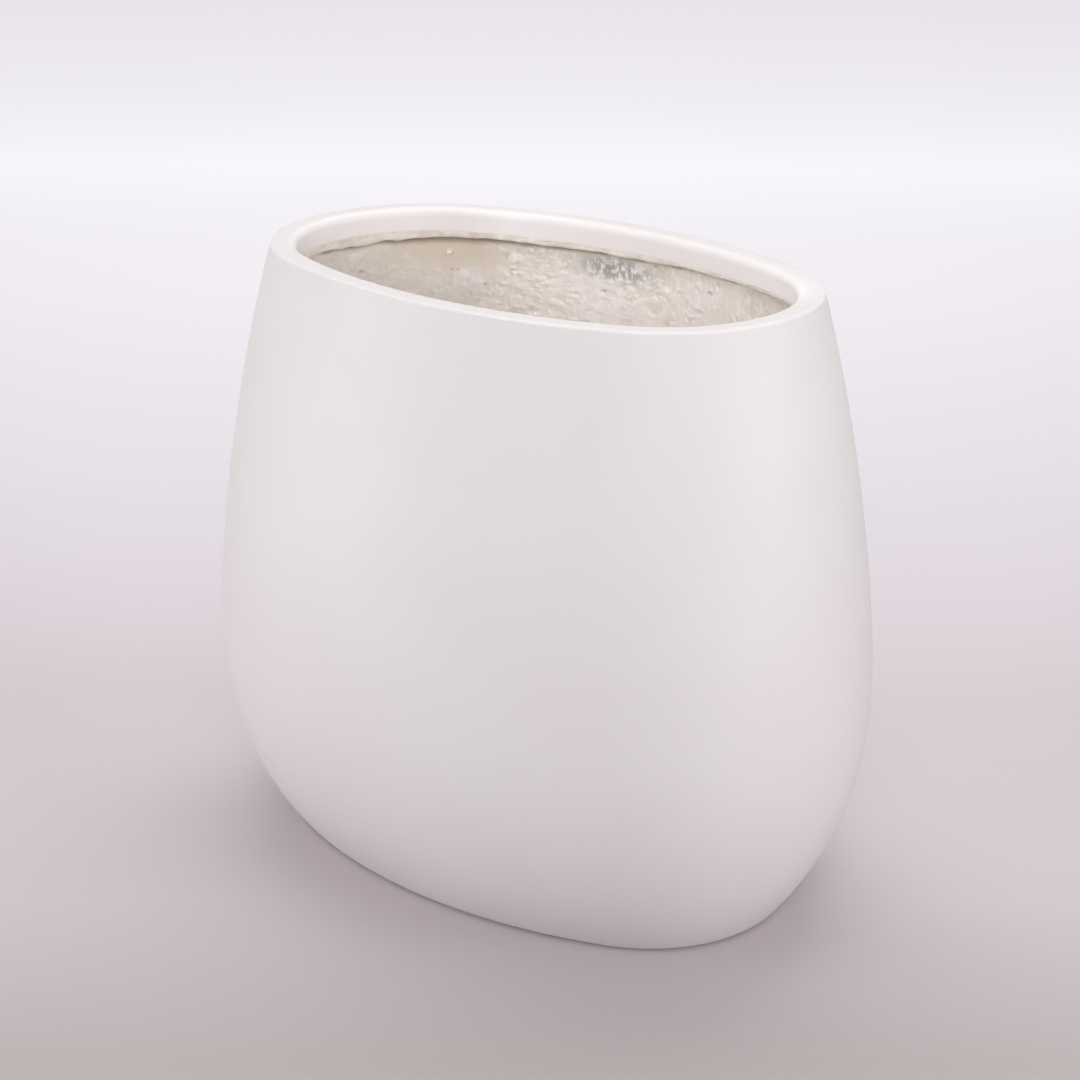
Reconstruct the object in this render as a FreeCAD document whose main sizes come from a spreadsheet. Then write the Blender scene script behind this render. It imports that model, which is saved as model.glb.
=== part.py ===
"""Oval bellied floor planter in glass fibre: a moulded shell with a rough lining, a bonded rim lip,
a drain with a rubber plug, and foot pads. Millimetres, +Z up, origin on the floor under the middle."""
import FreeCAD
import Part
import math
import os
import Sketcher
from enum import IntEnum

Vector = FreeCAD.Vector

# Driving dimensions: the rim is the reference outline, and the wall is given by its offset from it
DIMENSIONS = {
    "rim_length": 572.0,
    "rim_width": 353.0,
    "rim_side_radius": 516.5,
    "shell_height": 598.0,
    "belly_offset": 59.5,
    "belly_height": 210.5,
    "shoulder_rise": 87.0,
    "shoulder_radius": 904.0,
    "base_inset": 15.0,
    "shell_thickness": 4.5,
    "base_thickness": 6.0,
    "base_return": 40.0,
    "heel_radius": 6.0,
    "rim_edge_radius": 3.8,
    "lining_thickness": 3.5,
    "bond_line": 0.3,
    "lip_width": 24.4,
    "lip_depth": 22.2,
    "lip_skirt": 6.0,
    "lip_flange": 5.0,
    "lip_edge_radius": 8.0,
    "backing_thickness": 4.0,
    "raw_edge_height": 6.0,
    "raw_edge_set_back": 0.6,
    "raw_edge_radius": 2.0,
    "floor_panel_inset": 34.0,
    "floor_panel_thickness": 5.0,
    "floor_panel_bevel": 3.0,
    "drain_bore": 28.0,
    "bush_wall": 3.0,
    "bush_flange_width": 8.0,
    "bush_flange_thickness": 2.5,
    "plug_clearance": 0.3,
    "plug_taper": 1.5,
    "plug_tip_recess": 1.5,
    "plug_head_overhang": 4.0,
    "plug_head_thickness": 5.0,
    "plug_head_edge": 1.5,
    "tab_width": 18.0,
    "tab_height": 22.0,
    "tab_thickness": 6.0,
    "tab_hole": 9.0,
    "foot_diameter": 45.0,
    "foot_thickness": 2.0,
    "foot_edge_radius": 0.8,
    "foot_end_inset": 101.0,
    "foot_side_inset": 76.5,
}

# A fillet takes at most this share of the wall that it rounds
FILLET_SHARE = 0.8

# An edge is found by a point on it, to within this distance
FOUND_WITHIN = 0.01

# Sketch references: the origin point and the two axes
ORIGIN = (-1, 1)
X_AXIS = -1
Y_AXIS = -2


class CurvePoint(IntEnum):
    """How a sketch numbers the points of a curve."""
    START = 1
    END = 2
    CENTRE = 3


START, END, CENTRE = CurvePoint


class Size:
    """A number with the sheet expression that gives it, so that sums of sizes stay bound to the sheet."""

    def __init__(self, value, text):
        self.value = value
        self.text = text

    def combine(self, other, sign, value):
        text = other.text if isinstance(other, Size) else str(other)
        return Size(value, f"({self.text} {sign} {text})")

    def __add__(self, other):
        return self.combine(other, "+", self.value + number(other))

    def __sub__(self, other):
        return self.combine(other, "-", self.value - number(other))

    def __mul__(self, other):
        return self.combine(other, "*", self.value * number(other))

    def __truediv__(self, other):
        return self.combine(other, "/", self.value / number(other))


def number(size):
    return size.value if isinstance(size, Size) else size


def smaller(first, second):
    return Size(min(first.value, second.value), f"min({first.text}; {second.text})")


doc = FreeCAD.newDocument("planter")
sheet = doc.addObject("Spreadsheet::Sheet", "sizes")
for row, (alias, value) in enumerate(DIMENSIONS.items(), start=1):
    sheet.set(f"A{row}", alias)
    sheet.set(f"B{row}", str(value))
    sheet.setAlias(f"B{row}", alias)
doc.recompute()


def size(alias):
    return Size(DIMENSIONS[alias], f"sizes.{alias}")


# Heights and depths that several pieces share, measured from the underside of the shell
NOTHING = Size(0.0, "0")
HALF_LENGTH = size("rim_length") / 2
HALF_WIDTH = size("rim_width") / 2
RIM_TOP = size("shell_height")
FLANGE_UNDERSIDE = RIM_TOP - size("lip_flange")
SKIRT_BOTTOM = RIM_TOP - size("lip_depth")
BASE_TOP = size("base_thickness")
LINING_DEPTH = size("shell_thickness") + size("bond_line")
LINING_FACE_DEPTH = LINING_DEPTH + size("lining_thickness")
LINING_FLOOR = BASE_TOP + size("lining_thickness")
PANEL_TOP = LINING_FLOOR + size("floor_panel_thickness")
BUSH_TOP = PANEL_TOP + size("bush_flange_thickness")
BUSH_RADIUS = size("drain_bore") / 2 + size("bush_wall")
HOLE_RADIUS = BUSH_RADIUS + size("bond_line")
RETURN_EDGE = NOTHING - size("base_inset") - size("base_return")
FLOOR_OUTLINE = NOTHING - size("base_inset") - size("base_return") / 2


# Helpers for bodies, sketches and bound sizes

def new_body(name, lift=size("foot_thickness")):
    """Make a body that stands above the floor by the thickness of the feet, unless told otherwise."""
    body = doc.addObject("PartDesign::Body", name)
    body.Label = name
    body.setExpression("Placement.Base.z", lift.text)
    return body


def new_sketch(body, name, role, height=None):
    sketch = body.newObject("Sketcher::SketchObject", f"{body.Name}_{name}")
    plane = next(feature for feature in body.Origin.OriginFeatures if feature.Role == role)
    sketch.AttachmentSupport = [(plane, "")]
    sketch.MapMode = "FlatFace"
    if height is not None:
        sketch.setExpression("AttachmentOffset.Base.z", height.text)
    return sketch


def fix(sketch, kind, places, amount, name):
    """Add a dimension to a sketch and bind it to the sheet."""
    index = sketch.addConstraint(Sketcher.Constraint(kind, *places, amount.value))
    sketch.renameConstraint(index, name)
    sketch.setExpression(f"Constraints.{name}", amount.text)


def link(sketch, kind, *places):
    sketch.addConstraint(Sketcher.Constraint(kind, *places))


def add_line(sketch, first, last):
    return sketch.addGeometry(Part.LineSegment(Vector(*first, 0), Vector(*last, 0)))


def add_arc(sketch, centre, radius, first, last, construction=False):
    circle = Part.Circle(Vector(*centre, 0), Vector(0, 0, 1), radius)
    return sketch.addGeometry(Part.ArcOfCircle(circle, first, last), construction)


def add_circle(sketch, radius, name, centre=(0.0, 0.0)):
    circle = sketch.addGeometry(Part.Circle(Vector(*centre, 0), Vector(0, 0, 1), radius.value))
    fix(sketch, "Radius", (circle,), radius, name)
    return circle


def point_of(sketch, place):
    found = sketch.getPoint(*place)
    return (found.x, found.y)


def place_point(sketch, place, x, y, name):
    """Fix a point by its distances from the origin."""
    fix(sketch, "DistanceX", (*ORIGIN, *place), x, f"{name}_x")
    fix(sketch, "DistanceY", (*ORIGIN, *place), y, f"{name}_y")


def polygon(sketch, corners, names):
    """Draw a closed outline of straight lines whose corners are fixed by pairs of sizes."""
    lines = []
    for index, corner in enumerate(corners):
        following = corners[(index + 1) % len(corners)]
        first = (corner[0].value, corner[1].value)
        last = (following[0].value, following[1].value)
        lines.append(add_line(sketch, first, last))
    for index, line in enumerate(lines):
        link(sketch, "Coincident", line, END, lines[(index + 1) % len(lines)], START)
        corner = corners[index]
        for kind, axis, amount in (("DistanceX", "x", corner[0]), ("DistanceY", "y", corner[1])):
            if amount is NOTHING:
                link(sketch, "PointOnObject", line, START, X_AXIS if axis == "y" else Y_AXIS)
            else:
                fix(sketch, kind, (*ORIGIN, line, START), amount, f"{names[index]}_{axis}")


# The oval plan outline and the curved wall section that every ring follows

def draw_oval(sketch, offset):
    """Draw the rim's four-arc oval, moved outwards by an offset."""
    half_length = HALF_LENGTH + offset
    half_width = HALF_WIDTH + offset
    side_radius = size("rim_side_radius") + offset
    a, b, side = half_length.value, half_width.value, side_radius.value
    end = (2 * side * b - a * a - b * b) / (2 * (side - a))
    turn = math.atan2(side - b, a - end)
    right = add_arc(sketch, (a - end, 0), end, -turn, turn)
    back = add_arc(sketch, (0, b - side), side, turn, math.pi - turn)
    left = add_arc(sketch, (end - a, 0), end, math.pi - turn, math.pi + turn)
    front = add_arc(sketch, (0, side - b), side, math.pi + turn, 2 * math.pi - turn)
    arcs = (right, back, left, front)
    for arc, following in zip(arcs, arcs[1:] + arcs[:1]):
        link(sketch, "Tangent", arc, END, following, START)
    link(sketch, "Symmetric", right, START, right, END, X_AXIS)
    link(sketch, "Symmetric", back, START, back, END, Y_AXIS)
    link(sketch, "Symmetric", right, CENTRE, left, CENTRE, *ORIGIN)
    link(sketch, "Equal", right, left)
    fix(sketch, "Radius", (back,), side_radius, "side_radius")
    fix(sketch, "DistanceY", (back, CENTRE, *ORIGIN), side_radius - half_width, "side_centre")
    tip = sketch.addGeometry(Part.Point(Vector(a, 0, 0)), True)
    link(sketch, "PointOnObject", tip, START, right)
    link(sketch, "PointOnObject", tip, START, X_AXIS)
    fix(sketch, "DistanceX", (*ORIGIN, tip, START), half_length, "half_length")


def draw_wall(sketch, construction):
    """Draw the shell's outer face as three tangent arcs: base to belly, belly to shoulder, shoulder to rim."""
    rim = HALF_LENGTH.value
    base_x = rim - DIMENSIONS["base_inset"]
    belly_x = rim + DIMENSIONS["belly_offset"]
    belly_z = DIMENSIONS["belly_height"]
    reach = belly_x - base_x
    low_radius = (reach ** 2 + belly_z ** 2) / (2 * reach)
    low_start = math.atan2(-belly_z, base_x - (belly_x - low_radius))
    low = add_arc(sketch, (belly_x - low_radius, belly_z), low_radius, low_start, 0, construction)

    shoulder_radius = DIMENSIONS["shoulder_radius"]
    turn = math.asin(DIMENSIONS["shoulder_rise"] / shoulder_radius)
    shoulder_centre = (belly_x - shoulder_radius, belly_z)
    middle = add_arc(sketch, shoulder_centre, shoulder_radius, 0, turn, construction)

    joint = Vector(shoulder_centre[0] + shoulder_radius * math.cos(turn), belly_z + DIMENSIONS["shoulder_rise"])
    chord = Vector(rim, DIMENSIONS["shell_height"]) - joint
    inward = Vector(-math.cos(turn), -math.sin(turn))
    high_radius = chord.dot(chord) / (2 * chord.dot(inward))
    high_centre = joint + inward * high_radius
    high_end = math.atan2(DIMENSIONS["shell_height"] - high_centre.y, rim - high_centre.x)
    high = add_arc(sketch, (high_centre.x, high_centre.y), high_radius, turn, high_end, construction)

    link(sketch, "Tangent", low, END, middle, START)
    link(sketch, "Tangent", middle, END, high, START)
    link(sketch, "Horizontal", low, CENTRE, low, END)
    link(sketch, "PointOnObject", low, START, X_AXIS)
    fix(sketch, "DistanceX", (*ORIGIN, low, START), HALF_LENGTH - size("base_inset"), "base_edge")
    place_point(sketch, (low, END), HALF_LENGTH + size("belly_offset"), size("belly_height"), "belly")
    fix(sketch, "DistanceY", (middle, START, middle, END), size("shoulder_rise"), "shoulder_rise")
    fix(sketch, "Radius", (middle,), size("shoulder_radius"), "shoulder_radius")
    place_point(sketch, (high, END), HALF_LENGTH, RIM_TOP, "rim")
    return low, middle, high


def draw_inner_wall(sketch, wall, depth, bottom, top, name, construction=False):
    """Draw a face parallel to the outer wall, a depth inside it, between two heights."""
    arcs = []
    for arc in wall:
        curve = sketch.Geometry[arc]
        centre = (curve.Center.x, curve.Center.y)
        radius = curve.Radius - depth.value
        first, last = curve.FirstParameter, curve.LastParameter
        if arc == wall[0]:
            first = math.asin((bottom.value - centre[1]) / radius)
        if arc == wall[-1]:
            last = math.asin((top.value - centre[1]) / radius)
        arcs.append(add_arc(sketch, centre, radius, first, last, construction))
    low, middle, high = arcs
    for arc, outer in zip(arcs, wall):
        link(sketch, "Coincident", arc, CENTRE, outer, CENTRE)
    link(sketch, "Coincident", low, END, middle, START)
    link(sketch, "Horizontal", low, CENTRE, low, END)
    link(sketch, "Tangent", middle, END, high, START)
    fix(sketch, "DistanceX", (low, END, wall[0], END), depth, f"{name}_depth")
    fix(sketch, "DistanceY", (*ORIGIN, low, START), bottom, f"{name}_bottom")
    fix(sketch, "DistanceY", (*ORIGIN, high, END), top, f"{name}_top")
    return low, middle, high


def sweep(body, section):
    """Carry a section round the rim's oval."""
    path = new_sketch(body, "path", "XY_Plane")
    draw_oval(path, NOTHING)
    ring = body.newObject("PartDesign::AdditivePipe", f"{body.Name}_ring")
    ring.Profile = section
    ring.Spine = path
    doc.recompute()
    return ring


def add_floor(body, bottom, thickness, offset):
    """Fill the middle of a body with a flat oval floor that has the drain hole in it."""
    outline = new_sketch(body, "floor_outline", "XY_Plane", bottom)
    draw_oval(outline, offset)
    hole = add_circle(outline, HOLE_RADIUS, "drain_hole")
    link(outline, "Coincident", hole, CENTRE, *ORIGIN)
    floor = body.newObject("PartDesign::Pad", f"{body.Name}_floor")
    floor.Profile = outline
    floor.setExpression("Length", thickness.text)
    doc.recompute()
    return floor


def ring_edges(feature, offset, height):
    """Name the edges that run round the oval at an offset from the rim and at a height."""
    tips = []
    for reach, direction in ((HALF_LENGTH + offset, Vector(1, 0)), (HALF_WIDTH + offset, Vector(0, 1))):
        for side in (1, -1):
            tips.append(direction * (side * reach.value) + Vector(0, 0, height.value))
    names = []
    for index, edge in enumerate(feature.Shape.Edges, start=1):
        middle = edge.valueAt((edge.FirstParameter + edge.LastParameter) / 2)
        if any(middle.distanceToPoint(tip) < FOUND_WITHIN for tip in tips):
            names.append(f"Edge{index}")
    return names


def round_ring(body, feature, name, offset, height, radius):
    rounding = body.newObject("PartDesign::Fillet", f"{body.Name}_{name}")
    rounding.Base = (feature, ring_edges(feature, offset, height))
    rounding.setExpression("Radius", radius.text)
    doc.recompute()
    return rounding


def revolve(body, sketch):
    """Turn a half section once round the upright axis."""
    turned = body.newObject("PartDesign::Revolution", f"{body.Name}_turned")
    turned.Profile = sketch
    turned.ReferenceAxis = (sketch, ["V_Axis"])
    turned.Angle = 360
    doc.recompute()
    return turned


# Laminated layers: wall and floor in one

def make_layer(name, depth, thickness, bottom, floor_thickness, top):
    """Make a layer of wall and floor: its outer face lies a depth inside the planter's outer face."""
    body = new_body(name)
    section = new_sketch(body, "section", "XZ_Plane")
    on_outside = depth is NOTHING
    wall = draw_wall(section, construction=not on_outside)
    outer = wall if on_outside else draw_inner_wall(section, wall, depth, bottom, top, "outer")
    inner = draw_inner_wall(section, wall, depth + thickness, bottom + floor_thickness, top, "inner")
    floor_end = (HALF_LENGTH + RETURN_EDGE).value
    outer_low, outer_high = point_of(section, (outer[0], START)), point_of(section, (outer[-1], END))
    inner_low, inner_high = point_of(section, (inner[0], START)), point_of(section, (inner[-1], END))
    top_line = add_line(section, outer_high, inner_high)
    floor_line = add_line(section, inner_low, (floor_end, inner_low[1]))
    end_line = add_line(section, (floor_end, inner_low[1]), (floor_end, outer_low[1]))
    base_line = add_line(section, (floor_end, outer_low[1]), outer_low)
    link(section, "Coincident", top_line, START, outer[-1], END)
    link(section, "Coincident", top_line, END, inner[-1], END)
    link(section, "Coincident", floor_line, START, inner[0], START)
    link(section, "Coincident", floor_line, END, end_line, START)
    link(section, "Coincident", end_line, END, base_line, START)
    link(section, "Coincident", base_line, END, outer[0], START)
    for line in (floor_line, base_line):
        link(section, "Horizontal", line)
    link(section, "Vertical", end_line)
    fix(section, "DistanceX", (*ORIGIN, end_line, END), HALF_LENGTH + RETURN_EDGE, "return_edge")
    sweep(body, section)
    return body, add_floor(body, bottom, floor_thickness, FLOOR_OUTLINE)


def make_outer_shell():
    body, shell = make_layer(
        "outer_shell", NOTHING, size("shell_thickness"), NOTHING, size("base_thickness"), RIM_TOP)
    heel = round_ring(body, shell, "heel", NOTHING - size("base_inset"), NOTHING, size("heel_radius"))
    rim_radius = smaller(size("rim_edge_radius"), size("shell_thickness") * FILLET_SHARE)
    round_ring(body, heel, "rim_edge", NOTHING, RIM_TOP, rim_radius)
    return body


def make_inner_laminate():
    body, _ = make_layer(
        "inner_laminate", LINING_DEPTH, size("lining_thickness"), BASE_TOP, size("lining_thickness"),
        FLANGE_UNDERSIDE)
    return body


def make_floor_panel():
    body = new_body("floor_panel")
    outline = NOTHING - size("base_inset") - size("floor_panel_inset")
    panel = add_floor(body, LINING_FLOOR, size("floor_panel_thickness"), outline)
    bevel = body.newObject("PartDesign::Chamfer", "floor_panel_edge")
    bevel.Base = (panel, ring_edges(panel, outline, PANEL_TOP))
    bevel_size = smaller(size("floor_panel_bevel"), size("floor_panel_thickness") * FILLET_SHARE)
    bevel.setExpression("Size", bevel_size.text)
    return body


# The rim: a smooth lip and the laminate angle that backs it

def close_against_wall(sketch, depth, corners, names):
    """Draw a closed outline whose first two corners lie on a face inside the wall, at their own heights."""
    wall = draw_wall(sketch, construction=True)
    face = draw_inner_wall(sketch, wall, depth, BASE_TOP, RIM_TOP, "seat", construction=True)
    curve = sketch.Geometry[face[-1]]
    points = []
    for x, z in corners:
        rise = z.value - curve.Center.y
        on_face = curve.Center.x + math.sqrt(curve.Radius ** 2 - rise ** 2)
        points.append((on_face if x is None else x.value, z.value))
    lines = [add_line(sketch, point, points[(index + 1) % len(points)]) for index, point in enumerate(points)]
    for index, line in enumerate(lines):
        link(sketch, "Coincident", line, END, lines[(index + 1) % len(lines)], START)
        x, z = corners[index]
        fix(sketch, "DistanceY", (*ORIGIN, line, START), z, f"{names[index]}_z")
        if x is None:
            link(sketch, "PointOnObject", line, START, face[-1])
        else:
            fix(sketch, "DistanceX", (*ORIGIN, line, START), x, f"{names[index]}_x")


def make_rim_lip():
    body = new_body("rim_lip")
    section = new_sketch(body, "section", "XZ_Plane")
    inner_face = HALF_LENGTH - size("lip_width")
    skirt_back = inner_face + size("lip_skirt")
    corners = (
        (None, FLANGE_UNDERSIDE),
        (None, RIM_TOP),
        (inner_face, RIM_TOP),
        (inner_face, SKIRT_BOTTOM),
        (skirt_back, SKIRT_BOTTOM),
        (skirt_back, FLANGE_UNDERSIDE),
    )
    names = ("seat_low", "seat_high", "edge", "skirt_face", "skirt_back", "flange_back")
    close_against_wall(section, size("shell_thickness"), corners, names)
    ring = sweep(body, section)
    radius = smaller(size("lip_edge_radius"), size("lip_depth") * FILLET_SHARE)
    round_ring(body, ring, "edge", NOTHING - size("lip_width"), RIM_TOP, radius)
    return body


def make_lip_backing():
    body = new_body("lip_backing")
    section = new_sketch(body, "section", "XZ_Plane")
    raw_face = HALF_LENGTH - size("lip_width") + size("raw_edge_set_back")
    leg_face = HALF_LENGTH - size("lip_width") + size("lip_skirt") + size("bond_line")
    leg_back = leg_face + size("backing_thickness")
    raw_bottom = SKIRT_BOTTOM - size("raw_edge_height")
    leg_underside = FLANGE_UNDERSIDE - size("backing_thickness")
    corners = (
        (None, leg_underside),
        (None, FLANGE_UNDERSIDE),
        (leg_face, FLANGE_UNDERSIDE),
        (leg_face, SKIRT_BOTTOM),
        (raw_face, SKIRT_BOTTOM),
        (raw_face, raw_bottom),
        (leg_back, raw_bottom),
        (leg_back, leg_underside),
    )
    names = ("seat_low", "seat_high", "leg_top", "step", "raw_top", "raw_bottom", "leg_bottom", "corner")
    close_against_wall(section, LINING_FACE_DEPTH + size("bond_line"), corners, names)
    ring = sweep(body, section)
    radius = smaller(size("raw_edge_radius"), size("raw_edge_height") * FILLET_SHARE)
    round_ring(body, ring, "raw_edge", raw_face - HALF_LENGTH, raw_bottom, radius)
    return body


# The drain: a flanged bush and its rubber plug

def make_drain_bush():
    body = new_body("drain_bush")
    section = new_sketch(body, "section", "XZ_Plane")
    bore = size("drain_bore") / 2
    flange = BUSH_RADIUS + size("bush_flange_width")
    corners = (
        (bore, NOTHING),
        (BUSH_RADIUS, NOTHING),
        (BUSH_RADIUS, PANEL_TOP),
        (flange, PANEL_TOP),
        (flange, BUSH_TOP),
        (bore, BUSH_TOP),
    )
    polygon(section, corners, ("bore_low", "tube_low", "tube_high", "flange_low", "flange_high", "bore_high"))
    revolve(body, section)
    return body


def make_drain_plug():
    body = new_body("drain_plug")
    section = new_sketch(body, "section", "XZ_Plane")
    shank = size("drain_bore") / 2 - size("plug_clearance")
    tip = shank - size("plug_taper")
    head = size("drain_bore") / 2 + size("plug_head_overhang")
    head_top = BUSH_TOP + size("plug_head_thickness")
    head_edge = smaller(size("plug_head_edge"), size("plug_head_thickness") * FILLET_SHARE)
    corners = (
        (NOTHING, size("plug_tip_recess")),
        (tip, size("plug_tip_recess")),
        (shank, BUSH_TOP),
        (head, BUSH_TOP),
        (head, head_top - head_edge),
        (head - head_edge, head_top),
        (NOTHING, head_top),
    )
    names = ("axis_low", "tip", "shank", "head_low", "head_side", "head_edge", "axis_high")
    polygon(section, corners, names)
    revolve(body, section)

    # The pull tab is a flat lug with a round top and a finger hole
    lug = new_sketch(body, "tab_outline", "XZ_Plane")
    half = size("tab_width") / 2
    crown = head_top + size("tab_height") - half
    root = head_top - head_edge
    arc = add_arc(lug, (0, crown.value), half.value, 0, math.pi)
    left = add_line(lug, (-half.value, crown.value), (-half.value, root.value))
    low = add_line(lug, (-half.value, root.value), (half.value, root.value))
    right = add_line(lug, (half.value, root.value), (half.value, crown.value))
    link(lug, "Tangent", arc, END, left, START)
    link(lug, "Coincident", left, END, low, START)
    link(lug, "Coincident", low, END, right, START)
    link(lug, "Tangent", right, END, arc, START)
    link(lug, "Horizontal", low)
    link(lug, "PointOnObject", arc, CENTRE, Y_AXIS)
    fix(lug, "Radius", (arc,), half, "half_width")
    fix(lug, "DistanceY", (*ORIGIN, arc, CENTRE), crown, "crown")
    fix(lug, "DistanceY", (*ORIGIN, low, START), root, "root")
    hole_radius = smaller(size("tab_hole") / 2, half * FILLET_SHARE)
    hole = add_circle(lug, hole_radius, "finger_hole", (0, crown.value))
    link(lug, "Coincident", hole, CENTRE, arc, CENTRE)
    tab = body.newObject("PartDesign::Pad", "drain_plug_tab")
    tab.Profile = lug
    tab.SideType = "Symmetric"
    tab.setExpression("Length", size("tab_thickness").text)
    return body


# Rubber feet under the base

def make_foot_pad(index, side_x, side_y):
    body = new_body(f"foot_pad_{index}", lift=NOTHING)
    outline = new_sketch(body, "outline", "XY_Plane")
    rim = add_circle(outline, size("foot_diameter") / 2, "radius")
    link(outline, "Coincident", rim, CENTRE, *ORIGIN)
    pad = body.newObject("PartDesign::Pad", f"{body.Name}_disc")
    pad.Profile = outline
    pad.setExpression("Length", size("foot_thickness").text)
    doc.recompute()
    low_edges = []
    for number_in_shape, edge in enumerate(pad.Shape.Edges, start=1):
        if edge.BoundBox.ZMax < FOUND_WITHIN:
            low_edges.append(f"Edge{number_in_shape}")
    rounding = body.newObject("PartDesign::Fillet", f"{body.Name}_edge")
    rounding.Base = (pad, low_edges)
    radius = smaller(size("foot_edge_radius"), size("foot_thickness") * FILLET_SHARE)
    rounding.setExpression("Radius", radius.text)
    along = (HALF_LENGTH - size("base_inset") - size("foot_end_inset")) * side_x
    across = (HALF_WIDTH - size("base_inset") - size("foot_side_inset")) * side_y
    body.setExpression("Placement.Base.x", along.text)
    body.setExpression("Placement.Base.y", across.text)
    return body


bodies = [
    make_outer_shell(),
    make_inner_laminate(),
    make_floor_panel(),
    make_rim_lip(),
    make_lip_backing(),
    make_drain_bush(),
    make_drain_plug(),
]
corners_of_base = ((1, 1), (-1, 1), (-1, -1), (1, -1))
for index, (side_x, side_y) in enumerate(corners_of_base, start=1):
    bodies.append(make_foot_pad(index, side_x, side_y))
doc.recompute()

for item in doc.Objects:
    if "Invalid" in item.State or "Error" in item.State:
        raise RuntimeError(f"{item.Name} could not be built: {item.State}")
for body in bodies:
    if body.Shape.isNull() or not body.Shape.isValid() or len(body.Shape.Solids) != 1:
        raise RuntimeError(f"{body.Label} is not one valid solid")

os.makedirs("parts", exist_ok=True)
for body in bodies:
    body.Shape.exportStep(f"parts/{body.Label}.step")
    print(body.Label, round(body.Shape.Volume / 1000, 2), "cm3")
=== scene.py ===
"""Looks of the oval bellied planter: satin white shell and lip, raw laminate inside, rubber plug and feet.
Metres, in the frame of the solids: +X along the oval, +Z up, origin on the floor."""

import math

import bpy
import numpy as np
from mathutils import Matrix, Vector, noise


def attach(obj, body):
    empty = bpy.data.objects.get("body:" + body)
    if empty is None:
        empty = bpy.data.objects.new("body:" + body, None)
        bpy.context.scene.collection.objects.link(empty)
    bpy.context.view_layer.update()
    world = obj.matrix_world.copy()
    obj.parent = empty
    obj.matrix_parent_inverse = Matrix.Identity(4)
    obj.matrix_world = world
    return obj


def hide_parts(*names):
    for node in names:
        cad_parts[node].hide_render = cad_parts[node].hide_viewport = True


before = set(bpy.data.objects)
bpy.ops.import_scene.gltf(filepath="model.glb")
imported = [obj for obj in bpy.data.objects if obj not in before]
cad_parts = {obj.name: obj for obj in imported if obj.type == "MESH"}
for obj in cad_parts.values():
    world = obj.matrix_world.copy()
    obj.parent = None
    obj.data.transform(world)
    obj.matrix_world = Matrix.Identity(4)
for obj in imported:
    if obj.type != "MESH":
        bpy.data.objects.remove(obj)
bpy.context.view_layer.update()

# Sizes that the solids also have: the rim's oval, the wall's three arcs and the layers
RIM_HALF_LENGTH = 0.286
RIM_HALF_WIDTH = 0.1765
RIM_SIDE_RADIUS = 0.5165
FOOT_THICKNESS = 0.002
SHELL_HEIGHT = 0.598
BELLY_OFFSET = 0.0595
BELLY_HEIGHT = 0.2105
SHOULDER_RISE = 0.087
SHOULDER_RADIUS = 0.904
BASE_INSET = 0.015
BASE_THICKNESS = 0.006
LINING_BACK = 0.0048
LINING_FACE = 0.0083
LIP_WIDTH = 0.0244
LIP_DEPTH = 0.0222
LIP_SKIRT = 0.006
LIP_FLANGE = 0.005
BACKING_THICKNESS = 0.004
RAW_EDGE_SET_BACK = 0.0006
BOND_LINE = 0.0003
PANEL_SET_BACK = 0.034
PANEL_THICKNESS = 0.005
PANEL_BEVEL = 0.003
BUSH_FLANGE = 0.030
DRAIN_HOLE = 0.0173

# Places that follow from them: heights above the floor, and offsets from the rim's outline
RIM_TOP = FOOT_THICKNESS + SHELL_HEIGHT
BASE_TOP = FOOT_THICKNESS + BASE_THICKNESS
LINING_FLOOR = BASE_TOP + LINING_FACE - LINING_BACK
SKIRT_BOTTOM = RIM_TOP - LIP_DEPTH
FLANGE_UNDERSIDE = RIM_TOP - LIP_FLANGE
LEG_UNDERSIDE = FLANGE_UNDERSIDE - BACKING_THICKNESS
RAW_FACE = RAW_EDGE_SET_BACK - LIP_WIDTH
LEG_FACE = LIP_SKIRT + BOND_LINE - LIP_WIDTH
LEG_BACK = LEG_FACE + BACKING_THICKNESS
BACKING_SEAT = LINING_FACE + BOND_LINE
PANEL_OUTLINE = -BASE_INSET - PANEL_SET_BACK
PANEL_TOP = LINING_FLOOR + PANEL_THICKNESS

# Columns round the oval for the rough pieces
COLUMNS = 1000


# The oval and the wall curve, as the solids have them

END_RADIUS = (2 * RIM_SIDE_RADIUS * RIM_HALF_WIDTH - RIM_HALF_LENGTH ** 2 - RIM_HALF_WIDTH ** 2) / (
    2 * (RIM_SIDE_RADIUS - RIM_HALF_LENGTH))
END_TURN = math.atan2(RIM_SIDE_RADIUS - RIM_HALF_WIDTH, RIM_HALF_LENGTH - END_RADIUS)


def oval(count):
    """Points evenly spaced round the rim's oval, from the +X tip, and the outward directions there."""
    turns = np.array([
        0,
        END_TURN,
        math.pi - END_TURN,
        math.pi + END_TURN,
        2 * math.pi - END_TURN,
        2 * math.pi,
    ])
    radii = np.array([END_RADIUS, RIM_SIDE_RADIUS, END_RADIUS, RIM_SIDE_RADIUS, END_RADIUS])
    centres = np.array([
        (RIM_HALF_LENGTH - END_RADIUS, 0),
        (0, RIM_HALF_WIDTH - RIM_SIDE_RADIUS),
        (END_RADIUS - RIM_HALF_LENGTH, 0),
        (0, RIM_SIDE_RADIUS - RIM_HALF_WIDTH),
        (RIM_HALF_LENGTH - END_RADIUS, 0),
    ])
    lengths = np.concatenate([[0], np.cumsum(radii * np.diff(turns))])
    along = np.arange(count) / count * lengths[-1]
    angle = np.interp(along, lengths, turns)
    arc = np.clip(np.searchsorted(lengths, along, side="right") - 1, 0, len(radii) - 1)
    outward = np.stack([np.cos(angle), np.sin(angle)], axis=1)
    return centres[arc] + radii[arc, None] * outward, outward


RING, OUTWARD = oval(COLUMNS)


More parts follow.
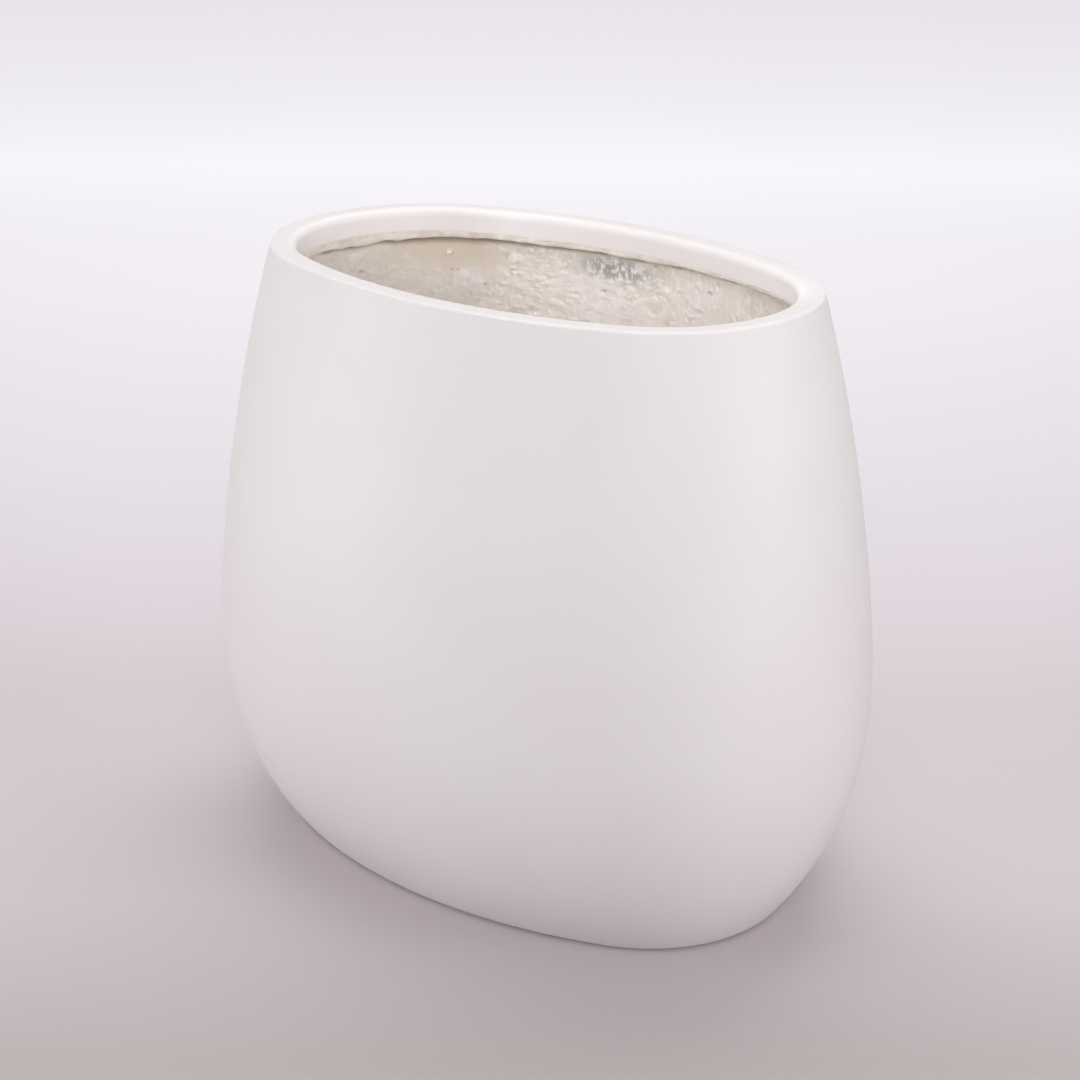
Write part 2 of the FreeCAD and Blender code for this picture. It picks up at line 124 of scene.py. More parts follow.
def wall_arcs():
    """Centre, radius and last turn of the wall's arcs, in offsets from the rim and heights."""
    reach = BELLY_OFFSET + BASE_INSET
    belly = FOOT_THICKNESS + BELLY_HEIGHT
    low_radius = (reach ** 2 + BELLY_HEIGHT ** 2) / (2 * reach)
    turn = math.asin(SHOULDER_RISE / SHOULDER_RADIUS)
    inward = Vector((-math.cos(turn), -math.sin(turn)))
    joint = Vector((BELLY_OFFSET - SHOULDER_RADIUS, belly)) - inward * SHOULDER_RADIUS
    chord = Vector((0, RIM_TOP)) - joint
    high_radius = chord.dot(chord) / (2 * chord.dot(inward))
    high_centre = joint + inward * high_radius
    return (
        (BELLY_OFFSET - low_radius, belly, low_radius, 0.0),
        (BELLY_OFFSET - SHOULDER_RADIUS, belly, SHOULDER_RADIUS, turn),
        (high_centre.x, high_centre.y, high_radius, math.pi / 2),
    )


WALL_ARCS = wall_arcs()


def wall(height, depth):
    """Offset from the rim, and slope, of the face that lies a depth inside the outer wall."""
    for across, up, radius, last in WALL_ARCS:
        turn = math.asin(max(-1.0, min(1.0, (height - up) / (radius - depth))))
        if turn <= last:
            break
    return across + (radius - depth) * math.cos(turn), turn


def loop(offset, height):
    """The oval at an offset from the rim and a height; either may be an array with a value per column."""
    flat = RING + OUTWARD * np.reshape(offset, (-1, 1))
    return np.column_stack([flat, np.broadcast_to(height, COLUMNS)])


def circle_loop(radius, height):
    """A round loop about the upright axis, with a point in the direction of each point of the oval."""
    direction = RING / np.linalg.norm(RING, axis=1)[:, None]
    return np.column_stack([direction * radius, np.full(COLUMNS, height)])


SHARP_EDGE = math.radians(40)


def ring_mesh(name, rows):
    """Join loops one after another, and the last to the first, into a closed ring."""
    count = len(rows)
    columns = len(rows[0])
    points = np.concatenate(rows)
    grid = np.arange(count * columns).reshape(count, columns)
    beside = np.roll(grid, -1, axis=1)
    above = np.roll(grid, -1, axis=0)
    corner = np.roll(beside, -1, axis=0)
    faces = np.stack([grid, beside, corner, above], axis=-1).reshape(-1, 4)
    mesh = bpy.data.meshes.new(name)
    mesh.from_pydata(points.tolist(), [], faces.tolist())
    mesh.polygons.foreach_set("use_smooth", np.ones(len(faces), dtype=bool))
    mesh.set_sharp_from_angle(angle=SHARP_EDGE)
    mesh.update()
    piece = bpy.data.objects.new(name, mesh)
    bpy.context.scene.collection.objects.link(piece)
    return piece


# Noise over points

def noise_at(points, scale, octaves=3, shift=0.0):
    """Noise of about -1 to 1 at points, with waves of about 1 / scale metres; scale may be per axis."""
    scaled = points * np.broadcast_to(scale, 3) + shift
    return np.array([noise.fractal(Vector(p), 1.0, 2.0, octaves) for p in scaled])


def step(values, low, high):
    """Rise smoothly from 0 to 1 as values go from low to high."""
    share = np.clip((values - low) / (high - low), 0, 1)
    return share * share * (3 - 2 * share)


# Camera: the place that the photograph was taken from

CAMERA_AZIMUTH = math.radians(38.69)
CAMERA_ELEVATION = math.radians(20.64)
CAMERA_ROLL = math.radians(0.286)
CAMERA_DISTANCE = 2.513
CAMERA_LENS = 86.67
AIM_RIGHT = 0.0025
AIM_UP = 0.0222


def add_camera():
    """Aim at the planter's middle, moved a little, from the camera's azimuth, elevation and roll."""
    back = Vector((
        math.sin(CAMERA_AZIMUTH) * math.cos(CAMERA_ELEVATION),
        -math.cos(CAMERA_AZIMUTH) * math.cos(CAMERA_ELEVATION),
        math.sin(CAMERA_ELEVATION),
    ))
    level = Vector((math.cos(CAMERA_AZIMUTH), math.sin(CAMERA_AZIMUTH), 0))
    upright = back.cross(level)
    right = level * math.cos(CAMERA_ROLL) + upright * math.sin(CAMERA_ROLL)
    up = upright * math.cos(CAMERA_ROLL) - level * math.sin(CAMERA_ROLL)
    aim = Vector((0, 0, FOOT_THICKNESS + SHELL_HEIGHT / 2)) + right * AIM_RIGHT + up * AIM_UP
    data = bpy.data.cameras.new("camera")
    data.lens = CAMERA_LENS
    data.sensor_width = 36
    data.clip_end = 60
    camera = bpy.data.objects.new("camera", data)
    turn = Matrix((right, up, back)).transposed().to_4x4()
    camera.matrix_world = Matrix.Translation(aim + back * CAMERA_DISTANCE) @ turn
    bpy.context.scene.collection.objects.link(camera)
    bpy.context.scene.camera = camera


# Materials

def new_material(name):
    material = bpy.data.materials.new(name)
    material.use_nodes = True
    tree = material.node_tree
    shader = tree.nodes["Principled BSDF"]
    return material, tree, shader


def place(tree):
    return tree.nodes.new("ShaderNodeTexCoord").outputs["Object"]


def noise_node(tree, coordinates, scale, detail=3.0, roughness=0.5):
    node = tree.nodes.new("ShaderNodeTexNoise")
    node.inputs["Scale"].default_value = scale
    node.inputs["Detail"].default_value = detail
    node.inputs["Roughness"].default_value = roughness
    tree.links.new(coordinates, node.inputs["Vector"])
    return node.outputs["Fac"]


def ramp_node(tree, value, stops):
    """Map a value to colours; stops are pairs of a place from 0 to 1 and a colour."""
    node = tree.nodes.new("ShaderNodeValToRGB")
    ramp = node.color_ramp
    while len(ramp.elements) < len(stops):
        ramp.elements.new(0.5)
    for element, (at, colour) in zip(ramp.elements, stops):
        element.position = at
        element.color = (*colour, 1)
    tree.links.new(value, node.inputs["Fac"])
    return node.outputs["Color"]


def share_node(tree, value, low, high):
    """Rise from 0 to 1 as a value goes from low to high."""
    return ramp_node(tree, value, ((low, (0, 0, 0)), (high, (1, 1, 1))))


def range_node(tree, value, low, high):
    """Map a value from 0..1 to a range."""
    node = tree.nodes.new("ShaderNodeMapRange")
    node.inputs["To Min"].default_value = low
    node.inputs["To Max"].default_value = high
    tree.links.new(value, node.inputs["Value"])
    return node.outputs["Result"]


def mix_node(tree, share, first, second):
    node = tree.nodes.new("ShaderNodeMix")
    node.data_type = "RGBA"
    tree.links.new(share, node.inputs["Factor"])
    for socket, colour in ((node.inputs["A"], first), (node.inputs["B"], second)):
        if isinstance(colour, tuple):
            socket.default_value = (*colour, 1)
        else:
            tree.links.new(colour, socket)
    return node.outputs["Result"]


def bump_node(tree, shader, height, strength, distance):
    node = tree.nodes.new("ShaderNodeBump")
    node.inputs["Strength"].default_value = strength
    node.inputs["Distance"].default_value = distance
    tree.links.new(height, node.inputs["Height"])
    tree.links.new(node.outputs["Normal"], shader.inputs["Normal"])


def stretch_node(tree, coordinates, scale):
    """Scale coordinates by a factor per axis, so that a noise over them has long grains."""
    node = tree.nodes.new("ShaderNodeVectorMath")
    node.operation = "MULTIPLY"
    node.inputs[1].default_value = scale
    tree.links.new(coordinates, node.inputs[0])
    return node.outputs["Vector"]


def times_node(tree, first, second):
    node = tree.nodes.new("ShaderNodeMath")
    node.operation = "MULTIPLY"
    tree.links.new(first, node.inputs[0])
    tree.links.new(second, node.inputs[1])
    return node.outputs["Value"]


def attribute_node(tree, name):
    node = tree.nodes.new("ShaderNodeAttribute")
    node.attribute_name = name
    return node.outputs["Fac"]


def paint_material():
    """Satin white paint: broad faint tone changes, orange peel, and a roughness that wanders."""
    material, tree, shader = new_material("satin_white_paint")
    here = place(tree)
    broad = noise_node(tree, here, 5.0, detail=2.0)
    colour = ramp_node(tree, broad, ((0.3, (0.84, 0.788, 0.794)), (0.7, (0.865, 0.82, 0.825))))
    tree.links.new(colour, shader.inputs["Base Color"])
    tree.links.new(range_node(tree, noise_node(tree, here, 14.0), 0.48, 0.58), shader.inputs["Roughness"])
    bump_node(tree, shader, noise_node(tree, here, 350.0, detail=1.0), 0.03, 0.0004)
    shader.inputs["IOR"].default_value = 1.5
    return material


RESIN_TONES = ((0.3, (0.80, 0.72, 0.65)), (0.7, (0.91, 0.85, 0.795)))
BARE_CREAM = (0.80, 0.72, 0.605)
BARE_GREY = (0.44, 0.43, 0.428)
FILLER_WHITE = (0.95, 0.91, 0.89)
FILLER_TONES = ((0.3, (0.86, 0.80, 0.77)), (0.7, FILLER_WHITE))
BRUSH_SHADE = (0.62, 0.57, 0.54)
# Painted shade: darkens the pits as their shadow would
PAINTED_SHADE_IN_PITS = (0.56, 0.49, 0.42)
# Painted shade under the overhanging raw edge, with a little darker resin at the joint
UNDER_EDGE_SHADE_AND_RESIN = (0.30, 0.255, 0.19)
STROKE_GRAIN = (230.0, 230.0, 70.0)
BRUSH_GRAIN = (45.0, 45.0, 620.0)


def laminate_material():
    """Raw inside: resin and glass mat under white filler, with brush lines, painted shade in the pits, and
    painted shade under the raw edge where a little darker resin also lies.
    """
    material, tree, shader = new_material("raw_laminate")
    here = place(tree)
    tone = noise_node(tree, here, 30.0, detail=5.0, roughness=0.6)
    resin = ramp_node(tree, tone, RESIN_TONES)
    stained = mix_node(tree, attribute_node(tree, "stain"), resin, BARE_CREAM)
    greyed = mix_node(tree, attribute_node(tree, "grey"), stained, BARE_GREY)
    filler = ramp_node(tree, noise_node(tree, here, 110.0, detail=4.0), FILLER_TONES)
    covered = mix_node(tree, attribute_node(tree, "putty"), greyed, filler)

    strokes = noise_node(tree, stretch_node(tree, here, STROKE_GRAIN), 1.0, detail=3.0)
    stroke_share = times_node(tree, share_node(tree, strokes, 0.52, 0.60), attribute_node(tree, "stroke"))
    stroked = mix_node(tree, stroke_share, covered, FILLER_WHITE)
    lines = noise_node(tree, stretch_node(tree, here, BRUSH_GRAIN), 1.0, detail=3.0)
    line_share = times_node(tree, share_node(tree, lines, 0.50, 0.66), attribute_node(tree, "brush"))
    lined = mix_node(tree, line_share, stroked, BRUSH_SHADE)
    # Painted shade in the pits
    pitted = mix_node(tree, attribute_node(tree, "shade_in_pits"), lined, PAINTED_SHADE_IN_PITS)
    # Painted shade under the raw edge, with a little darker resin there
    colour = mix_node(tree, attribute_node(tree, "shade_and_resin_under_edge"), pitted, UNDER_EDGE_SHADE_AND_RESIN)
    tree.links.new(colour, shader.inputs["Base Color"])
    tree.links.new(range_node(tree, tone, 0.5, 0.75), shader.inputs["Roughness"])
    bump_node(tree, shader, noise_node(tree, here, 420.0, detail=5.0, roughness=0.6), 0.8, 0.0008)
    return material


def raw_edge_material():
    """Trimmed laminate edge: greyish cream streaks, with stray white paint along its top."""
    material, tree, shader = new_material("raw_edge")
    here = place(tree)
    tone = noise_node(tree, here, 60.0, detail=5.0, roughness=0.6)
    raw = ramp_node(tree, tone, ((0.3, (0.67, 0.585, 0.525)), (0.7, (0.89, 0.82, 0.77))))
    colour = mix_node(tree, attribute_node(tree, "paint"), raw, (0.82, 0.765, 0.765))
    tree.links.new(colour, shader.inputs["Base Color"])
    tree.links.new(range_node(tree, tone, 0.5, 0.8), shader.inputs["Roughness"])
    bump_node(tree, shader, noise_node(tree, here, 500.0, detail=4.0), 0.5, 0.0005)
    return material


def rubber_material(name, dark, light):
    """Dull rubber, mottled between two tones."""
    material, tree, shader = new_material(name)
    here = place(tree)
    tone = noise_node(tree, here, 120.0, detail=4.0)
    tree.links.new(ramp_node(tree, tone, ((0.3, dark), (0.7, light))), shader.inputs["Base Color"])
    tree.links.new(range_node(tree, tone, 0.55, 0.8), shader.inputs["Roughness"])
    bump_node(tree, shader, noise_node(tree, here, 900.0, detail=3.0), 0.3, 0.0002)
    return material


def moulded_material():
    """Grey moulded plastic with a fine grain."""
    material, tree, shader = new_material("grey_moulding")
    here = place(tree)
    tone = noise_node(tree, here, 80.0, detail=3.0)
    colour = ramp_node(tree, tone, ((0.3, (0.30, 0.30, 0.31)), (0.7, (0.36, 0.36, 0.37))))
    tree.links.new(colour, shader.inputs["Base Color"])
    tree.links.new(range_node(tree, tone, 0.4, 0.55), shader.inputs["Roughness"])
    bump_node(tree, shader, noise_node(tree, here, 1200.0, detail=2.0), 0.2, 0.0002)
    return material


def dress(piece, material):
    """Give a piece one material in place of what it had."""
    piece.data.materials.clear()
    piece.data.materials.append(material)


# Rough inside

def set_attribute(piece, name, values):
    """Keep a value per point for the material to read."""
    layer = piece.data.attributes.new(name, "FLOAT", "POINT")
    layer.data.foreach_set("value", np.asarray(values, dtype=np.float32))


def finish_piece(piece, material, slot, *nodes):
    """Dress a rough piece, and let it ride on the planter in place of smooth solids."""
    dress(piece, material)
    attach(piece, "planter")
    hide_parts(*nodes)
    return piece


def patch(points, centre, reach):
    """How near points are to a place: 1 there, fading out over a reach along each axis."""
    apart = (points - np.array(centre)) / np.array(reach)
    return np.exp(-(apart ** 2).sum(axis=1))


# Marks on the back wall, under the lip: a bare cream stretch, a grey bare spot, brushed filler and lumps
CREAM = ((-0.215, 0.125, 0.553), (0.06, 0.06, 0.022))
GREY = ((-0.045, 0.180, 0.549), (0.038, 0.05, 0.013))
BRUSHED = ((-0.07, 0.183, 0.515), (0.09, 0.06, 0.028))
SMEARED = ((0.09, 0.175, 0.535), (0.09, 0.06, 0.035))
LUMPS = (
    ((-0.2775, 0.073, 0.532), (0.006, 0.006, 0.006), 0.0045),
    ((-0.158, 0.157, 0.5475), (0.007, 0.007, 0.006), 0.0040),
    ((-0.210, 0.143, 0.519), (0.018, 0.014, 0.009), 0.0016),
    ((0.055, 0.182, 0.530), (0.012, 0.009, 0.007), 0.0015),
)
PITS = (
    ((-0.284, 0.064, 0.531), (0.004, 0.004, 0.003), 0.0012),
    ((-0.193, 0.152, 0.514), (0.002, 0.002, 0.003), 0.0013),
    ((-0.061, 0.181, 0.523), (0.007, 0.005, 0.0016), 0.0012),
    ((-0.010, 0.188, 0.507), (0.002, 0.002, 0.002), 0.0012),
)
SCATTERED_LUMPS = 150
SCATTERED_PITS = 60
LUMPY_HEIGHTS = (0.40, 0.565)


def scatter(random, count, reaches, heights):
    """Places strewn over the upper wall, each with a reach and a height."""
    places = []
    for _ in range(count):
        column = random.integers(COLUMNS)
        height = random.uniform(*LUMPY_HEIGHTS)
        offset = wall(height, LINING_FACE)[0]
        centre = (*(RING[column] + OUTWARD[column] * offset), height)
        reach = random.uniform(*reaches)
        places.append((centre, (1.6 * reach, 1.6 * reach, reach), random.uniform(*heights)))
    return places


def relief(points, places, ragged):
    """The tallest of some ragged-edged spots at each point."""
    heights = np.zeros(len(points))
    for centre, reach, height in places:
        near = np.flatnonzero(np.abs(points - np.array(centre)).max(axis=1) < 3 * max(reach))
        share = step(patch(points[near], centre, reach) * ragged[near], 0.25, 0.6)
        heights[near] = np.maximum(heights[near], height * share)
    return heights


def lumps_and_pits(face):
    """Heights of the lumps and depths of the pits on the face, placed ones and strewn ones."""
    ragged = 1 + 0.6 * noise_at(face, 190.0, 3, shift=21.0)
    random = np.random.default_rng(4)
    small_lumps = scatter(random, SCATTERED_LUMPS, (0.0012, 0.003), (0.0006, 0.0018))
    small_pits = scatter(random, SCATTERED_PITS, (0.0010, 0.0022), (0.0008, 0.0016))
    lumps = relief(face, (*LUMPS, *small_lumps), ragged)
    pits = relief(face, (*PITS, *small_pits), ragged)
    return lumps, pits


def filler_cover(face, cream, grey, brushed, smeared):
    """How much filler covers the face: strokes at the +X end, slabs at the other, torn flakes between."""
    at_right = step(face[:, 0], -0.02, 0.10)
    at_left = 1 - step(face[:, 0], -0.24, -0.13)
    strokes = noise_at(face, (150.0, 150.0, 48.0), 4, shift=7.3)
    slabs = noise_at(face, (42.0, 42.0, 105.0), 5, shift=13.0)
    flakes = noise_at(face, (70.0, 70.0, 120.0), 6, shift=3.7)
    torn = at_right * strokes + at_left * slabs + (1 - at_right - at_left) * flakes
    torn = torn + 0.4 * noise_at(face, 16.0, 2, shift=3.1)
    drips = noise_at(face, (170.0, 170.0, 60.0), 3, shift=17.0)
    edge = torn + 0.45 * brushed + 0.1 * smeared - 0.9 * cream - 0.5 * grey + 1.2 * drips * grey
    return step(edge, -0.04, 0.10)


# How far the raw edge hangs below the lip's skirt, by place along the planter
EDGE_DROPS = {-0.28: 0.0105, -0.22: 0.0070, 0.0: 0.0072, 0.06: 0.0046, 0.28: 0.0036}


def raw_edge_drop():
    """The raw edge's uneven drop at each column."""
    drop = np.interp(RING[:, 0], list(EDGE_DROPS), list(EDGE_DROPS.values()))
    return drop * (1 + 0.22 * noise_at(loop(RAW_FACE, SKIRT_BOTTOM), 35.0, 3, shift=2.0))


# Rows of the lining: close together on the part of its face that shows best, wider apart below
CLOSE_ROWS_END = 0.47
CLOSE_ROWS = 0.0017
WIDE_ROWS = 0.004
SMOOTH_ROWS = 24

# Heights of the relief on its face, and of the foot over which that runs out into the flat floor
BROAD_RELIEF = 0.0012
FILLER_RELIEF = 0.0012
RIDGE_RELIEF = 0.0011
GRAIN_RELIEF = 0.0007
WALL_FOOT = 0.02


def lining_face():
    """Rows of points on the lining's smooth inner face, from the lip down, and the ways inward."""
    heights = np.concatenate([
        np.arange(FLANGE_UNDERSIDE, CLOSE_ROWS_END, -CLOSE_ROWS),
        np.arange(CLOSE_ROWS_END, LINING_FLOOR + WIDE_ROWS / 2, -WIDE_ROWS),
        [LINING_FLOOR],
    ])
    rows, inward = [], []
    for height in heights:
        offset, turn = wall(height, LINING_FACE)
        rows.append(loop(offset, height))
        inward.append(np.column_stack([-OUTWARD * math.cos(turn), np.full(COLUMNS, -math.sin(turn))]))
    return np.concatenate(rows), np.concatenate(inward)


def make_lining(material):
    """The lining of wall and floor: a closed layer whose inner face is rough."""
    face, inward = lining_face()
    row_count = len(face) // COLUMNS
    cream, grey, brushed, smeared = (patch(face, *mark) for mark in (CREAM, GREY, BRUSHED, SMEARED))
    putty = filler_cover(face, cream, grey, brushed, smeared)
    ridge = 4 * putty * (1 - putty)
    lumps, pits = lumps_and_pits(face)
    lumpy = step(lumps, 0.0002, 0.0008)
    putty = np.maximum(putty, lumpy)

    broad = noise_at(face, 20.0, 3)
    grain = noise_at(face, 230.0, 3, shift=5.0) * (1 - 0.8 * cream)
    lift = BROAD_RELIEF * broad + FILLER_RELIEF * putty + RIDGE_RELIEF * ridge + GRAIN_RELIEF * grain
    lift = (lift + lumps - pits) * step(face[:, 2], LINING_FLOOR, LINING_FLOOR + WALL_FOOT)
    face_rows = list((face + inward * lift[:, None]).reshape(row_count, COLUMNS, 3))

    hole = circle_loop(DRAIN_HOLE, LINING_FLOOR)
    floor_shares = np.linspace(0, 1, SMOOTH_ROWS)[1:]
    floor_rows = [face_rows[-1] * (1 - share) + hole * share for share in floor_shares]
    back_heights = np.linspace(BASE_TOP, FLANGE_UNDERSIDE, SMOOTH_ROWS)
    back_rows = [loop(wall(height, LINING_BACK)[0], height) for height in back_heights]
    piece = ring_mesh("lining", [circle_loop(DRAIN_HOLE, BASE_TOP)] + back_rows + face_rows + floor_rows)

    # Marks for the material, on the face and on the floor, with painted shade under the raw edge, where a
    # little darker resin also lies
    below = np.tile(SKIRT_BOTTOM - raw_edge_drop(), row_count) - face[:, 2]
    shade_and_resin_under_edge = 0.9 * (1 - step(below, 0.006, 0.0105 + 0.006 * cream))
    # Painted highlight: the filler is whitened along its ridges, so the edges of the flakes are lighter
    # than their middles
    filler_and_edge_highlight = (0.6 + 0.4 * brushed) * putty + 0.5 * ridge + 0.4 * lumpy
    marks = {
        "putty": (np.clip(filler_and_edge_highlight, 0, 1), 0.3),
        "stain": (np.clip(cream * 1.2, 0, 1), 0.2),
        "grey": (np.clip(grey * 1.4, 0, 1), 0.0),
        "stroke": (np.clip(0.25 + smeared + 0.6 * grey - cream, 0, 1), 0.0),
        "brush": (np.clip(0.12 + 0.35 * brushed - 0.3 * cream, 0, 1), 0.1),
        # Painted shade in the pits
        "shade_in_pits": (step(pits, 0.0003, 0.0011), 0.0),
        "shade_and_resin_under_edge": (shade_and_resin_under_edge, 0.0),
    }
    hidden = np.zeros(COLUMNS * (1 + len(back_rows)))
    floor = np.zeros(COLUMNS * len(floor_rows))
    for name, (on_face, on_floor) in marks.items():
        set_attribute(piece, name, np.concatenate([hidden, on_face, floor + on_floor]))
    return finish_piece(piece, material, "raw_laminate", "inner_laminate")


# The raw edge's face: its rows, the share from which it turns in, how far it does, and its underside
EDGE_ROWS = 12
EDGE_TURN = 0.75
EDGE_TURN_IN = 0.0012
EDGE_UNDERSIDE = 0.0035
EDGE_SAG = 0.0003


def make_raw_edge(material):
    """The laminate angle behind the lip: its raw lower edge hangs out below the paint."""
    tall = raw_edge_drop()
    paint_line = 0.10 + 0.22 * noise_at(loop(RAW_FACE, SKIRT_BOTTOM), 45.0, 4, shift=9.0)
    face_rows, paint_rows = [], []
    for share in np.linspace(0, 1, EDGE_ROWS):
        height = SKIRT_BOTTOM - share * tall
        points = loop(RAW_FACE, height)
        streaks = noise_at(points, (30.0, 30.0, 700.0), 2, shift=4.0)
        waves = noise_at(points, 90.0, 3, shift=6.0)
        turned_in = EDGE_TURN_IN * max(0.0, share - EDGE_TURN) / (1 - EDGE_TURN)
        face_rows.append(loop(RAW_FACE + 0.0004 * streaks + 0.0005 * waves + turned_in, height))
        paint_rows.append(1 - step(share - paint_line, -0.04, 0.06))
    bottom = SKIRT_BOTTOM - tall
    rest_rows = [
        loop(RAW_FACE + EDGE_UNDERSIDE, bottom - EDGE_SAG),
        loop(LEG_BACK, bottom),
        loop(LEG_BACK, LEG_UNDERSIDE),
        loop(wall(LEG_UNDERSIDE, BACKING_SEAT)[0], LEG_UNDERSIDE),
        loop(wall(FLANGE_UNDERSIDE, BACKING_SEAT)[0], FLANGE_UNDERSIDE),
        loop(LEG_FACE, FLANGE_UNDERSIDE),
        loop(LEG_FACE, SKIRT_BOTTOM),
    ]
    piece = ring_mesh("raw_edge", face_rows + rest_rows)
    set_attribute(piece, "paint", np.concatenate(paint_rows + [np.zeros(COLUMNS * len(rest_rows))]))
    return finish_piece(piece, material, "raw_edge", "lip_backing")


PANEL_ROWS = 60
PANEL_MARKS = {"stain": 0.15, "grey": 0.1, "stroke": 0.0, "brush": 0.1, "shade_in_pits": 0.0, "shade_and_resin_under_edge": 0.0}


def make_floor_panel(material):
    """The panel laid on the floor: a ring from its outline to the drain, with a rough top."""
    rim = loop(PANEL_OUTLINE - PANEL_BEVEL, PANEL_TOP)
    hole = circle_loop(DRAIN_HOLE, PANEL_TOP)
    top_rows = []
    for share in np.linspace(0, 1, PANEL_ROWS):
        points = rim * (1 - share) + hole * share
        clear = step(np.hypot(points[:, 0], points[:, 1]), BUSH_FLANGE, 2 * BUSH_FLANGE)
        points[:, 2] += clear * (0.0005 * noise_at(points, 30.0, 3) + 0.00025 * noise_at(points, 160.0, 2))
        top_rows.append(points)
    low = [circle_loop(DRAIN_HOLE, LINING_FLOOR), loop(PANEL_OUTLINE, LINING_FLOOR)]
    side = [loop(PANEL_OUTLINE, PANEL_TOP - PANEL_BEVEL)]
    piece = ring_mesh("floor_panel_rough", low + side + top_rows)
    everywhere = np.concatenate(low + side + top_rows)
    set_attribute(piece, "putty", 0.5 * step(noise_at(everywhere, 18.0, 4, shift=1.0), -0.1, 0.25))
    for name, value in PANEL_MARKS.items():
        set_attribute(piece, name, np.full(len(everywhere), value))
    return finish_piece(piece, material, "raw_laminate", "floor_panel")


# Stage and light

FLOOR_SPAN = 30

# The floor's ramps: they run from a near place to a far one, level and away from the photograph's camera
FLOOR_NEAR = -0.5
FLOOR_FAR = 5.5
# Painted shade: the colours darken towards the near end, standing in for the soft shade in front of the
# planter
FLOOR_COLOURS_AND_SHADE = (
    (0.015, (0.56, 0.498, 0.503)),
    (0.063, (0.688, 0.618, 0.642)),
    (0.142, (0.712, 0.643, 0.68)),
    (0.26, (0.80, 0.75, 0.80)),
)
FLOOR_GLOW = (
    (0.142, (0.0, 0.0, 0.0)),
    (0.253, (0.085, 0.08, 0.085)),
    (0.425, (0.355, 0.347, 0.362)),
    (0.60, (0.565, 0.575, 0.585)),
    (0.917, (0.55, 0.53, 0.57)),
)
# What the floor throws back on the planter
FLOOR_BOUNCE = (0.46, 0.42, 0.43)


def add_floor():
    """A pale sweep, darker towards the near end as painted shade, that grows lighter towards the far end
    and glows there as a lit backdrop does.
    """
    bpy.ops.mesh.primitive_plane_add(size=FLOOR_SPAN, location=(0, 0, 0))
    floor = bpy.context.object
    floor.name = "floor"
    material, tree, shader = new_material("studio_floor")
    away = tree.nodes.new("ShaderNodeVectorMath")
    away.operation = "DOT_PRODUCT"
    away.inputs[1].default_value = (-math.sin(CAMERA_AZIMUTH), math.cos(CAMERA_AZIMUTH), 0)
    tree.links.new(place(tree), away.inputs[0])
    share = tree.nodes.new("ShaderNodeMapRange")
    share.inputs["From Min"].default_value = FLOOR_NEAR
    share.inputs["From Max"].default_value = FLOOR_FAR
    tree.links.new(away.outputs["Value"], share.inputs["Value"])
    pale = ramp_node(tree, share.outputs["Result"], FLOOR_COLOURS_AND_SHADE)
    rays = tree.nodes.new("ShaderNodeLightPath").outputs
    seen = tree.nodes.new("ShaderNodeMath")
    seen.operation = "MAXIMUM"
    tree.links.new(rays["Is Camera Ray"], seen.inputs[0])
    tree.links.new(rays["Is Glossy Ray"], seen.inputs[1])
    tree.links.new(mix_node(tree, seen.outputs["Value"], FLOOR_BOUNCE, pale), shader.inputs["Base Color"])
    tree.links.new(ramp_node(tree, share.outputs["Result"], FLOOR_GLOW), shader.inputs["Emission Color"])
    shader.inputs["Emission Strength"].default_value = 1.0
    shader.inputs["Roughness"].default_value = 0.8
    shader.inputs["Specular IOR Level"].default_value = 0.2
    dress(floor, material)


WORLD_STRENGTH = 0.30
ALL_ROUND = math.pi

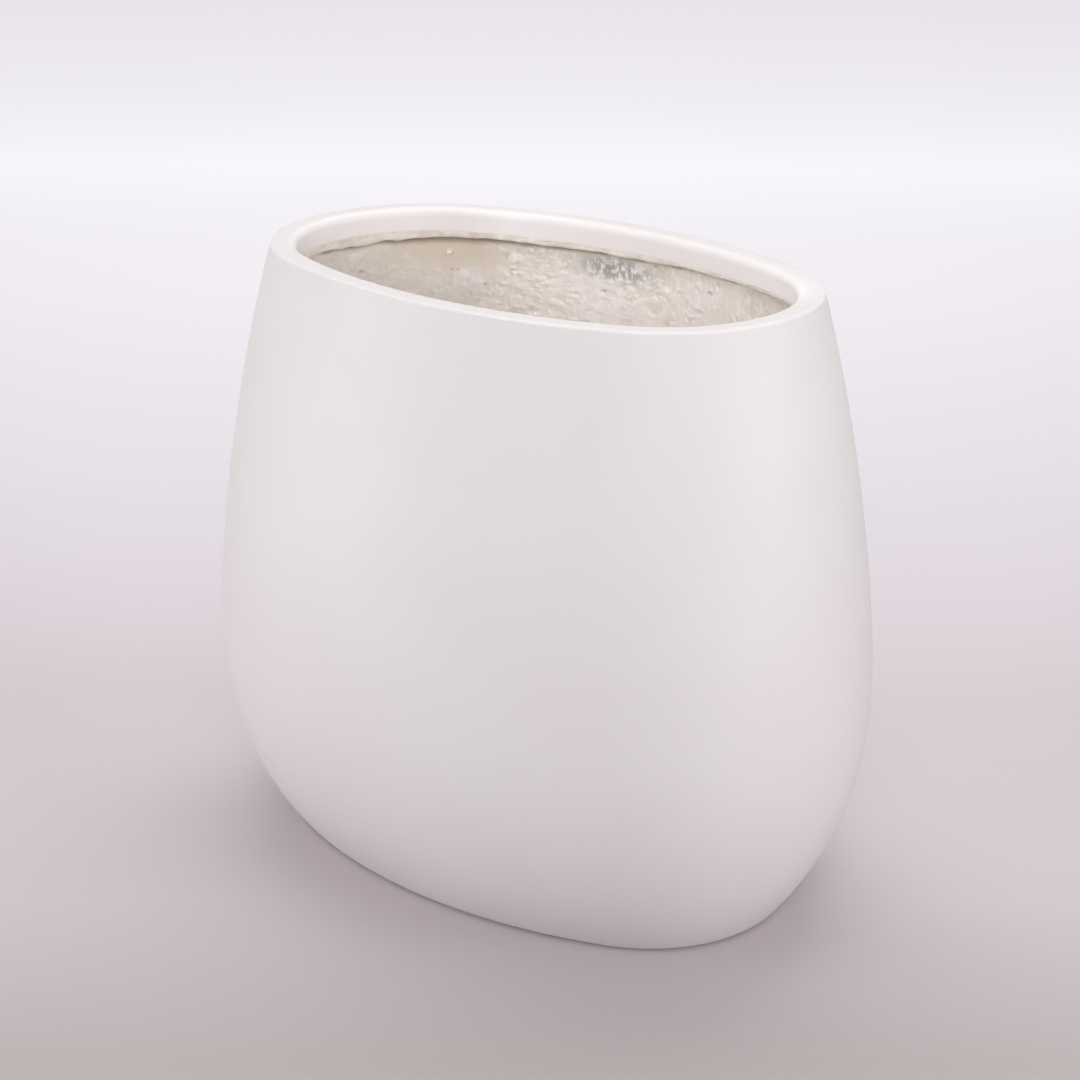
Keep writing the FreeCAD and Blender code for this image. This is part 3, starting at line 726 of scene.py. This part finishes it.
# Name, place, aim, size, power and spread of each lamp; the last two light the back wall inside the mouth
LAMPS = (
    ("front", (1.6, -2.0, 1.4), (0, 0, 0.45), (1.6, 0.7), 2.9, math.radians(50)),
    ("back", (-0.55, 0.8, 2.6), (0, 0, 0.3), (2.6, 1.6), 31, ALL_ROUND),
    ("top", (0.1, 0.1, 2.8), (0, 0, 0.3), (2.0, 2.0), 12, ALL_ROUND),
    ("left", (-2.3, -2.2, 0.5), (0, 0, 0.45), (1.6, 0.6), 34, ALL_ROUND),
    ("right", (2.8, 0.5, 0.85), (0, 0, 0.45), (1.6, 0.6), 23, ALL_ROUND),
    ("mouth", (0.02, -0.105, 0.555), (0.05, 0.19, 0.49), (0.3, 0.05), 0.20, ALL_ROUND),
    ("rake", (0.04, 0.0, 0.66), (0.05, 0.185, 0.465), (0.42, 0.05), 0.034, math.radians(42)),
)


def add_area(name, place_at, aim, size, power, spread):
    """A rectangular lamp that faces its aim."""
    data = bpy.data.lights.new(name, "AREA")
    data.shape = "RECTANGLE"
    data.size, data.size_y = size
    data.energy = power
    data.spread = spread
    lamp = bpy.data.objects.new(name, data)
    lamp.location = place_at
    lamp.rotation_mode = "QUATERNION"
    lamp.rotation_quaternion = (Vector(aim) - Vector(place_at)).to_track_quat("-Z", "Y")
    bpy.context.scene.collection.objects.link(lamp)


def add_light():
    """An even white world and the lamps."""
    world = bpy.data.worlds.new("studio")
    bpy.context.scene.world = world
    world.use_nodes = True
    background = world.node_tree.nodes["Background"]
    background.inputs["Color"].default_value = (1, 1, 1, 1)
    background.inputs["Strength"].default_value = WORLD_STRENGTH
    for lamp in LAMPS:
        add_area(*lamp)


def dress_solids(nodes):
    """Materials of the solids that stay in sight, and even shading on the shell's uneven facets."""
    paint = paint_material()
    for node in ("outer_shell", "rim_lip"):
        dress(nodes[node], paint)
    smoothing = nodes["outer_shell"].modifiers.new("even_shading", "WEIGHTED_NORMAL")
    smoothing.mode = "FACE_AREA"
    dress(nodes["drain_bush"], moulded_material())
    dress(nodes["drain_plug"], rubber_material("plug_rubber", (0.025, 0.025, 0.025), (0.045, 0.045, 0.045)))
    foot_rubber = rubber_material("foot_rubber", (0.03, 0.03, 0.03), (0.05, 0.05, 0.05))
    for index in range(1, 5):
        dress(nodes[f"foot_pad_{index}"], foot_rubber)


add_camera()
add_floor()
add_light()
dress_solids(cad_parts)
laminate = laminate_material()
make_lining(laminate)
make_floor_panel(laminate)
make_raw_edge(raw_edge_material())

bpy.context.scene.view_settings.view_transform = "Standard"
